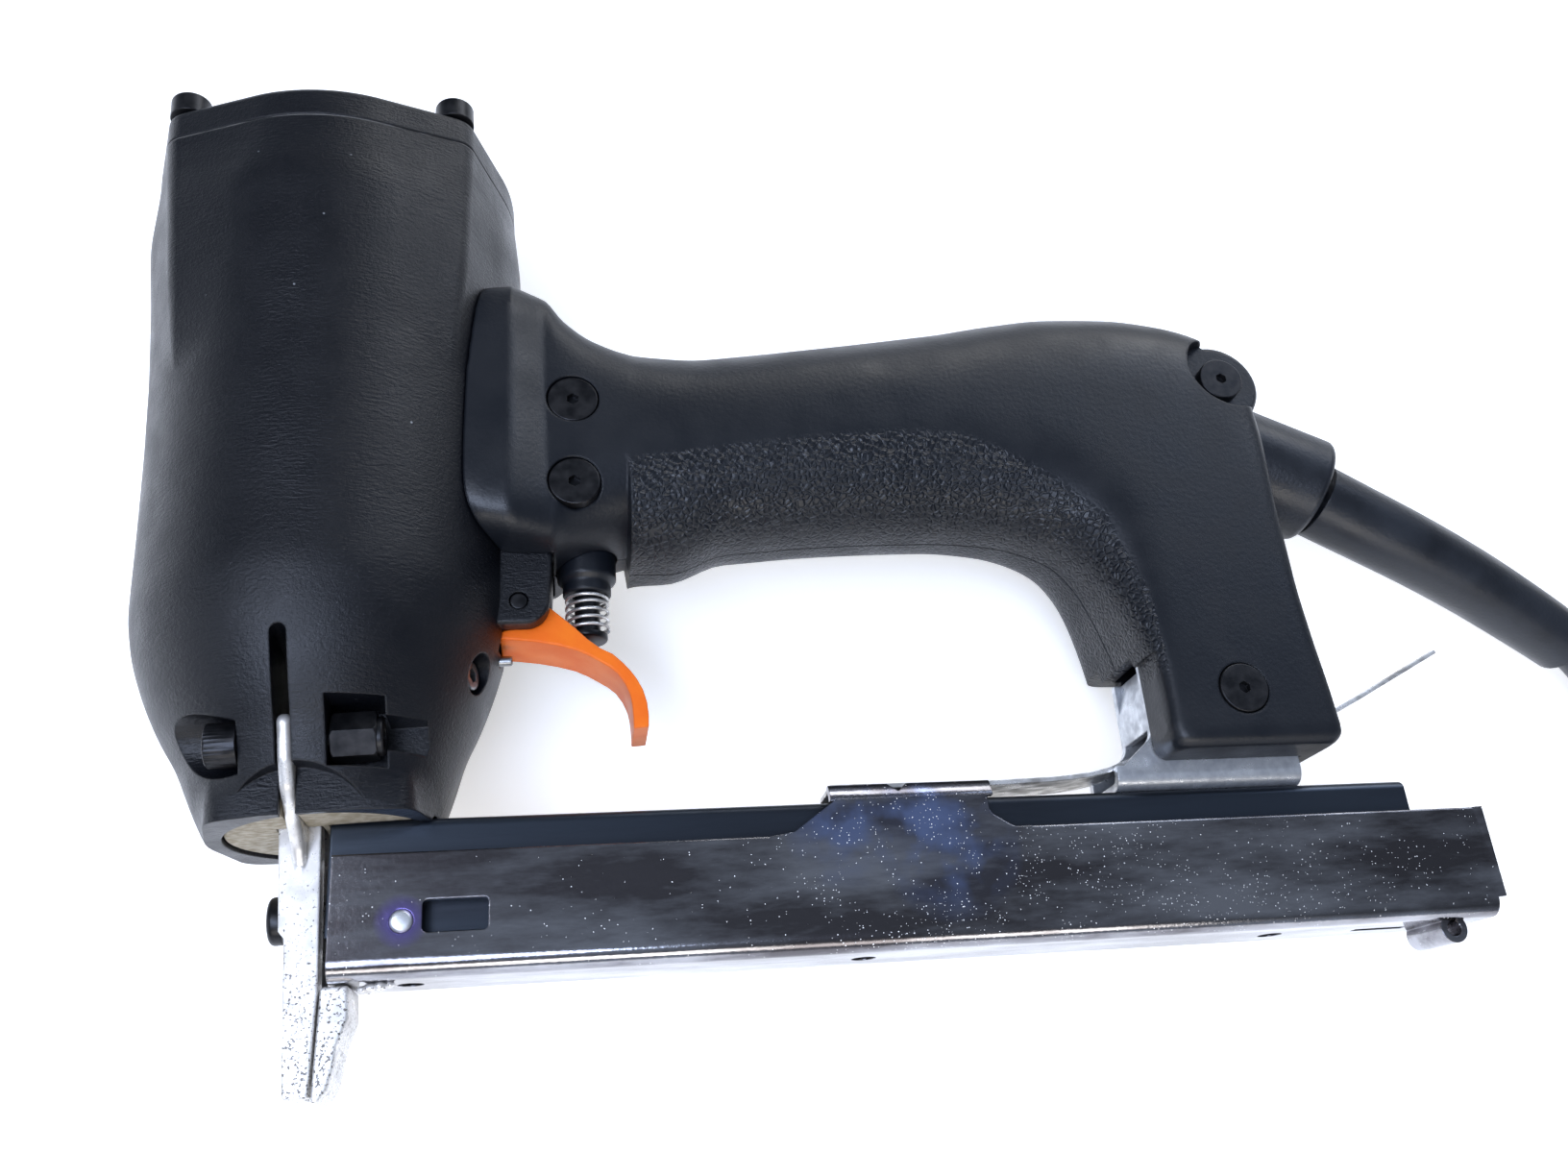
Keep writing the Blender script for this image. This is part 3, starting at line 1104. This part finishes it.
def makeTrigger():
    trigger = nodeCopy("trigger", "fingerTrigger")
    back = inPivot.inverted()
    for vertex in trigger.data.vertices:
        # the finger is a little shorter and flatter than the CAD's
        p = back @ vertex.co
        share = min(max((math.hypot(p.x, p.y) - 10) / 28, 0), 1)
        share *= share * (3 - 2 * share)
        turn = math.radians(2.9) * share
        p.x, p.y = ((p.x * math.cos(turn) - p.y * math.sin(turn)) * (1 - 0.08 * share), (p.x * math.sin(turn) + p.y * math.cos(turn)) * (1 - 0.08 * share))
        vertex.co = inPivot @ p
    apply(trigger, "BEVEL", width=0.0005, segments=3, limit_method="ANGLE", angle_limit=math.radians(50))
    dress(smooth(trigger, 32), "trigger")
    size = switchSize
    x, y = size["place"]
    hx, hy, hz = size["body"]
    body = block(inTool, x - hx, x + hx, y - hy, y + hy, -hz, hz)
    body.name = "switchBody"
    apply(body, "BEVEL", width=0.0008, segments=3, limit_method="ANGLE")
    stem = turned(along(inTool, "y", x, 0, 0), "switchStem", size["collar"])
    carve(body, [stem], "UNION")
    carve(body, [bar(inTool, "z", 2.25, -12, 12, sx, sy, 32) for sx, sy in handleSize["screws"][:2]])
    dress(smooth(body, 32), "trigger_switch")
    dress(smooth(turned(along(inTool, "y", x, 0, 0), "switchRod", size["plunger"]), 32), "switch_plunger")
    px, py = headSize["pivot"]
    pin = turned(along(inTool, "z", px, py, -9.3), "triggerPin", [(0, 0, 0), (1.5, 0, 0.3), (1.5, 18.6, 0.3), (0, 18.6, 0)])
    dress(smooth(pin, 32), "trigger_pin")
    low, high = (toTool @ Vector(corner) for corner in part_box("trigger_stop_pin"))
    middle = (low + high) / 2
    stopSpace = inTool @ Matrix.Translation(middle) @ Matrix.Rotation(math.radians(headRake), 4, "Z") @ axisTurns["x"]
    stop = turned(stopSpace, "stopPin", [(0, -1.9, 0), (0.9, -1.9, 0.2), (0.9, 1.9, 0.4), (0, 1.9, 0)], 32)
    dress(smooth(stop, 32), "trigger_stop_pin")


# Springs: each is a wound wire that shortens towards its fixed end as its joint moves.
# node, space, foot and height, coil radius, wire radius, turns, joint, travel, and whether its foot stays
springs = [
    ("plunger_spring", along(inTool, "y", 42.2, 75.9, 0), 6.6, 3.75, 0.3, 5.2, "switch_slide", 3.3, False),
    ("driver_return_spring", along(inHead, "y", 0, 38.4, 0), 45.3, 8.6, 0.65, 8.5, "driver_slide", 30, True),
    ("pusher_spring", along(inTool, "x", 20.2, 34.2, 0), 168.6, 0.52, 0.16, 96, "pusher_slide", 140, False),
]


def makeSprings():
    for node, space, height, radius, wire, turns, joint, travel, footStays in springs:
        count = round(turns * (20 if turns < 20 else 10))
        helix = []
        for i in range(count + 1):
            share = i / count
            eased = min(max((share - 0.12) / 0.76, 0), 1)  # the end turns lie flat
            turn = 2 * math.pi * turns * share
            lift = wire + (height - 2 * wire) * (0.07 * share + 0.93 * eased)
            helix.append(toTool @ (space @ Vector((radius * math.cos(turn), radius * math.sin(turn), lift))))
        wound = curvePiece(node + "_wire", helix, wire, resolution=2, ring=3 if turns < 20 else 1)
        selectOnly(wound)
        bpy.ops.object.convert(target="MESH")
        wound = bpy.context.object
        dress(smooth(wound, 60), node)
        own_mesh(wound)


makeTrigger()
makeSprings()
print("trigger ready")

# Nose: a tang that fills the head's slit, a thick nose, and the plate behind it.
noseSize = {
    "tang": (-4.65, -2.45),
    "tangOutline": [  # y, z and rounding of the near half, from the tip up
        (-38, 5.4, 0), (-9.0, 5.4, 1), (-5.6, 6.4, 1.5), (-3.2, 8.6, 3), (0.4, 14.0, 5), (3.6, 18.6, 4), (7.5, 20.9, 4),
        (11.3, 22.0, 4), (14.5, 23.3, 1.4), (14.5, 10.2, 1), (8.2, 10.2, 1),
    ],
    "body": [  # x, y and rounding
        (-0.4, 2.2, 0.4), (-6.95, 2.2, 0.5), (-6.45, -15.4, 0.3), (-5.6, -16.6, 0.3), (-5.1, -40, 0.7), (-1.5, -40, 0.2), (-0.3, -24, 0.5),
    ],
    "halfWidth": 6.0,
}


def makeNose():
    size = noseSize
    low, high = size["tang"]
    half = size["tangOutline"]
    outline = roundedOutline(half + [(y, -z, r) for y, z, r in reversed(half)], 6)
    plate = prism(inHead, outline, low, high, "yz")
    plate.name = "nosePlate"
    apply(plate, "BEVEL", width=0.0009, segments=4, limit_method="ANGLE", angle_limit=math.radians(65))
    body = prism(inHead, roundedOutline(size["body"], 6), -size["halfWidth"], size["halfWidth"])
    apply(body, "BEVEL", width=0.0007, segments=3, limit_method="ANGLE", angle_limit=math.radians(60))
    carve(plate, [body], "UNION")
    reach = headSize["clampReach"]
    cutters = [bar(inHead, "x", 2.15, low - 1, high + 1, headSize["clampHeight"], side * reach, 32) for side in (1, -1)]
    cutters += [block(inHead, -2.75, 0, -41, 9, -2.7, 2.7), bar(inHead, "x", 2.2, -8, -2.05, -12.8, 0, 32)]
    carve(plate, cutters)
    dress(smooth(plate, 40), "nose_front_plate", noseFinish)
    rear = nodeCopy("rear_nose_plate", "rearNosePlate")
    apply(rear, "BEVEL", width=0.001, segments=3, limit_method="ANGLE", angle_limit=math.radians(50))
    blobs = []
    for x, y, z, radius in ((8.2, 16.0, 4.6, 1.1), (9.6, 16.2, 5.2, 0.9), (10.9, 16.4, 4.8, 0.7), (7.0, 15.8, 5.0, 0.8)):
        bpy.ops.object.select_all(action="DESELECT")
        bpy.ops.mesh.primitive_ico_sphere_add(subdivisions=3, radius=radius)
        blobs.append(settle(bpy.context.object, inTool @ Matrix.Translation((x, y, z)) @ Matrix.Diagonal((1.3, 0.8, 1.2, 1))))
    carve(rear, blobs, "UNION")
    dress(smooth(rear, 40), "rear_nose_plate", noseFinish)


makeNose()
print("nose ready")

# Magazine: folded channel, its rail, rivets, bracket and release strip.
channelSize = {
    "span": (2.1, 198.9),
    "foot": 16.8,
    "top": 35.8,
    "half": 10.0,
    "wall": 1.4,
    "bend": 3.0,
    "tab": (74.0, 113.0),
    "shoulder": 41.4,
    "crown": 2.9,
    "lean": 1.5,
    "window": (16.0, 26.1, 23.2, 28.3),
    "holes": [13.6, 86.8, 160.0],
    "slot": (176.0, 186.0, 1.1),  # start, end and half width of the floor's rear slot
    "rivet": (12.9, 25.1, 1.75),
    "curl": (192.1, 2.5, 1.35, 5.3),  # x, outer and inner radius, half width
}


def makeChannel():
    size = channelSize
    start, end = size["span"]
    foot, top, half, wall, bend = (size[key] for key in ("foot", "top", "half", "wall", "bend"))
    inner = half - wall
    section = roundedOutline([
        (foot, half, bend), (top, half, 0.3), (top, inner, 0.3), (foot + wall, inner, bend - wall),
        (foot + wall, -inner, bend - wall), (top, -inner, 0.3), (top, -half, 0.3), (foot, -half, bend),
    ])
    piece = prism(inTool, section, start, end, "yz")
    piece.name = "foldedChannel"
    t0, t1 = size["tab"]
    shoulder, crownTop = size["shoulder"], size["shoulder"] + size["crown"]
    joined = []
    for side in (1, -1):
        tab = roundedOutline([
            (t0 - 3, top - 2, 0), (t1 + 3, top - 2, 0), (t1 + 3, top, 0), (t1 - 0.2, top, 2.4), (t1 - 4.2, top + 2.6, 2.2),
            (t1 - 4.2, shoulder + 0.2, 0), (t0 + 8.6, shoulder + 0.2, 0), (t0 + 1.2, top + 0.6, 1.6), (t0 - 3, top, 0),
        ])
        joined.append(prism(inTool, tab, *sorted((side * inner, side * half))))
        curve = []
        for k in range(7):
            share = k / 6
            curve.append((shoulder + size["crown"] * share, side * (half - size["lean"] * share**1.7)))
        crown = curve + [(y, z - side * wall) for y, z in reversed(curve)]
        joined.append(prism(inTool, crown, t0 + 7.6, t1 - 3.2, "yz"))
        flare = [(side * inner, end - 0.3), (side * half, end - 0.3), (side * (half + 0.5), end + 1.2), (side * (inner + 0.5), end + 1.2)]
        lip = pieceFrom("lip", [(x, y, z) for y in (foot + bend, top) for z, x in flare], [(0, 1, 2, 3), (7, 6, 5, 4), (0, 4, 5, 1), (1, 5, 6, 2), (2, 6, 7, 3), (3, 7, 4, 0)])
        joined.append(settle(recalculate(lip), inTool))
    cx, outer, hollow, reach = size["curl"]
    cy = foot + wall - outer - 0.2
    joined.append(bar(inTool, "z", outer, -reach, reach, cx, cy, 48))
    carve(piece, joined, "UNION")
    x0, x1, y0, y1 = size["window"]
    window = roundedOutline([(x0, y0, 0.9), (x1, y0, 0.9), (x1, y1, 0.9), (x0, y1, 0.9)])
    middle = (t0 + t1) / 2
    notch = roundedOutline([(middle, shoulder + 1.2, 0.3), (middle + 2.2, crownTop + 0.6, 0), (middle - 2.2, crownTop + 0.6, 0)])
    s0, s1, slotHalf = size["slot"]
    rx, ry, radius = size["rivet"]
    cutters = [
        prism(inTool, window, -12, 12),
        prism(inTool, notch, -12, 12),
        bar(inTool, "z", hollow, -reach - 1, reach + 1, cx, cy, 40),
        bar(inTool, "z", radius + 0.1, -12, 12, rx, ry, 40),
        block(inTool, s0, s1, foot - 1, foot + wall + 1, -slotHalf, slotHalf),
        *[bar(inTool, "y", 2.1, foot - 1, foot + wall + 1, x, 0, 40) for x in size["holes"]],
    ]
    carve(piece, cutters)
    dress(smooth(piece, 28), "magazine_channel")
    for side, tag in ((1, "near"), (-1, "far")):
        space = along(inTool, "z", rx, ry, side * inner, flip=side < 0)
        head = half - inner
        rivet = turned(space, f"{tag}Rivet", [(0, 0, 0), (radius, 0, 0), (radius, head + 0.1, 0), (radius * 0.82, head + 0.45, 0.4), (0, head + 0.6, 0)], 48)
        dress(smooth(rivet, 50), f"channel_rivet_{tag}", finishes["zinc_plate"])


railSize = {"span": (1.0, 189.0), "top": 42.1, "foot": 23.6, "half": 6.4, "slot": 2.9, "roof": 5.6, "edge": 1.5}
bracketSize = {
    "span": (134.3, 169.3),
    "foot": 42.3,
    "top": 65.3,
    "half": 6.75,
    "sheet": 1.5,
    "bend": 2.8,
    "wall": 142.0,
    "wallFoot": 53.2,
    "fold": 59.5,
}


def makeRailAndBracket():
    size = railSize
    top, foot, half, slot = size["top"], size["foot"], size["half"], size["slot"]
    section = roundedOutline([
        (top, -half, size["edge"]), (foot, -half, 0.4), (foot, -slot, 0), (top - size["roof"], -slot, 0),
        (top - size["roof"], slot, 0), (foot, slot, 0), (foot, half, 0.4), (top, half, size["edge"]),
    ])
    rail = prism(inTool, section, *size["span"], "yz")
    rail.name = "slideRail"
    apply(rail, "BEVEL", width=0.0004, segments=2, limit_method="ANGLE", angle_limit=math.radians(60))
    dress(smooth(rail, 30), "magazine_rail")

    size = bracketSize
    start, end = size["span"]
    foot, top, half, sheet, bend = (size[key] for key in ("foot", "top", "half", "sheet", "bend"))
    inner = half - sheet
    section = roundedOutline([
        (foot, half, bend), (top, half, 0.2), (top, inner, 0.2), (foot + sheet, inner, bend - sheet),
        (foot + sheet, -inner, bend - sheet), (top, -inner, 0.2), (top, -half, 0.2), (foot, -half, bend),
    ])
    bracket = prism(inTool, section, start, end, "yz")
    bracket.name = "foldedBracket"
    wall, wallFoot = size["wall"], size["wallFoot"]
    front = roundedOutline([
        (start - 2, foot + bend * 1.5, 0), (start + 1.5, foot + bend * 1.5, 1.2), (wall, wallFoot - sheet, 3), (wall, top + 2, 0), (start - 2, top + 2, 0),
    ])
    carve(bracket, [prism(inTool, front, -half - 2, half + 2)])
    fold = size["fold"]
    face = roundedOutline([(wall, wallFoot, 0.2), (wall + sheet, wallFoot, 0.2), (wall + sheet, fold, 1), (wall + sheet + 1.4, top, 0.2), (wall + 1.4, top, 0.2), (wall, fold, 1)])
    carve(bracket, [prism(inTool, face, -half, half)], "UNION")
    x, y = handleSize["screws"][2]
    holes = [bar(inTool, "z", 2.25, -half - 2, half + 2, x, y, 40)]
    holes += [bar(inTool, "y", 2.2, foot - 1, foot + sheet + 1, hx, 0, 40) for hx in (start + 5, end - 5)]
    carve(bracket, holes)
    dress(smooth(bracket, 28), "core_bracket")
    for i, hx in enumerate((start + 5, end - 5)):
        low = foot + sheet + 0.2
        profile = [(0, foot - 0.1, 0), (2, foot - 0.1, 0), (2, low, 0), (3.2, low, 0.2), (3.2, low + 1.0, 0.8), (0, low + 1.2, 0)]
        dress(smooth(turned(along(inTool, "y", hx, 0, 0), f"bracketRivet{i + 1}", profile, 48), 40), f"bracket_rivet_{i + 1}")
    strip = nodeCopy("release_strip", "releaseStrip")
    apply(strip, "BEVEL", width=0.0002, segments=2, limit_method="ANGLE", angle_limit=math.radians(50))
    dress(smooth(strip, 30), "release_strip")


makeChannel()
makeRailAndBracket()
print("magazine ready")

# Bumper, set screw and gland.
trimSize = {
    "bumper": [(0, 0.5, 0), (16.1, 0.5, 0.5), (16.1, 4.5, 0.3), (12.5, 4.5, 0.2), (12.5, 33.8, 0.3), (0, 33.8, 0)],
    "setScrew": (22.7, 3.0, 2.6, 1.3),
    "gland": [(0, -23, 0), (6.5, -23, 0), (6.5, -19, 0), (10.8, -19, 0.3), (10.8, 0, 1.5), (8.2, 0, 0.4), (7.7, -1.2, 0), (0, -1.2, 0)],
}


def makeTrims():
    bumper = turned(along(inHead, "y", 0, 0, 0), "fibreBumper", trimSize["bumper"], 96)
    front, rear, top = headSize["slit"]
    carve(bumper, [block(inHead, front, rear, -3, 8.5, -33, 33), block(inHead, -7.3, -0.1, -3, 2.6, -6.3, 6.3), block(inHead, -2.75, -1.35, -3, 40, -2.7, 2.7), block(inTool, 0.8, 34.2, 23.6, 42.3, -6.6, 6.6)])
    dress(smooth(bumper, 32), "bottom_bumper")
    foot, length, radius, socket = trimSize["setScrew"]
    space = ventSpace() @ axisTurns["x"]
    screw = turned(space, "setScrew", [(0, foot, 0), (radius, foot, 0.2), (radius, foot + length, 0.5), (0, foot + length, 0)], 48)
    carve(screw, [bar(space, "z", socket, foot + length / 2, foot + length + 1, 0, 0, 6)])
    dress(smooth(screw, 32), "rear_set_screw")
    gland = inTool @ Matrix.Translation((189.6, 104.4, 0)) @ Matrix.Rotation(-math.radians(24.7), 4, "Z") @ axisTurns["x"]
    dress(smooth(turned(gland, "cordGland", trimSize["gland"], 96), 35), "cord_gland")


makeTrims()
print("trims ready")

both = {"cad": cadBox, "visual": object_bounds()}
{k: [[float(v) for v in corner] for corner in pair] for k, pair in both.items()}
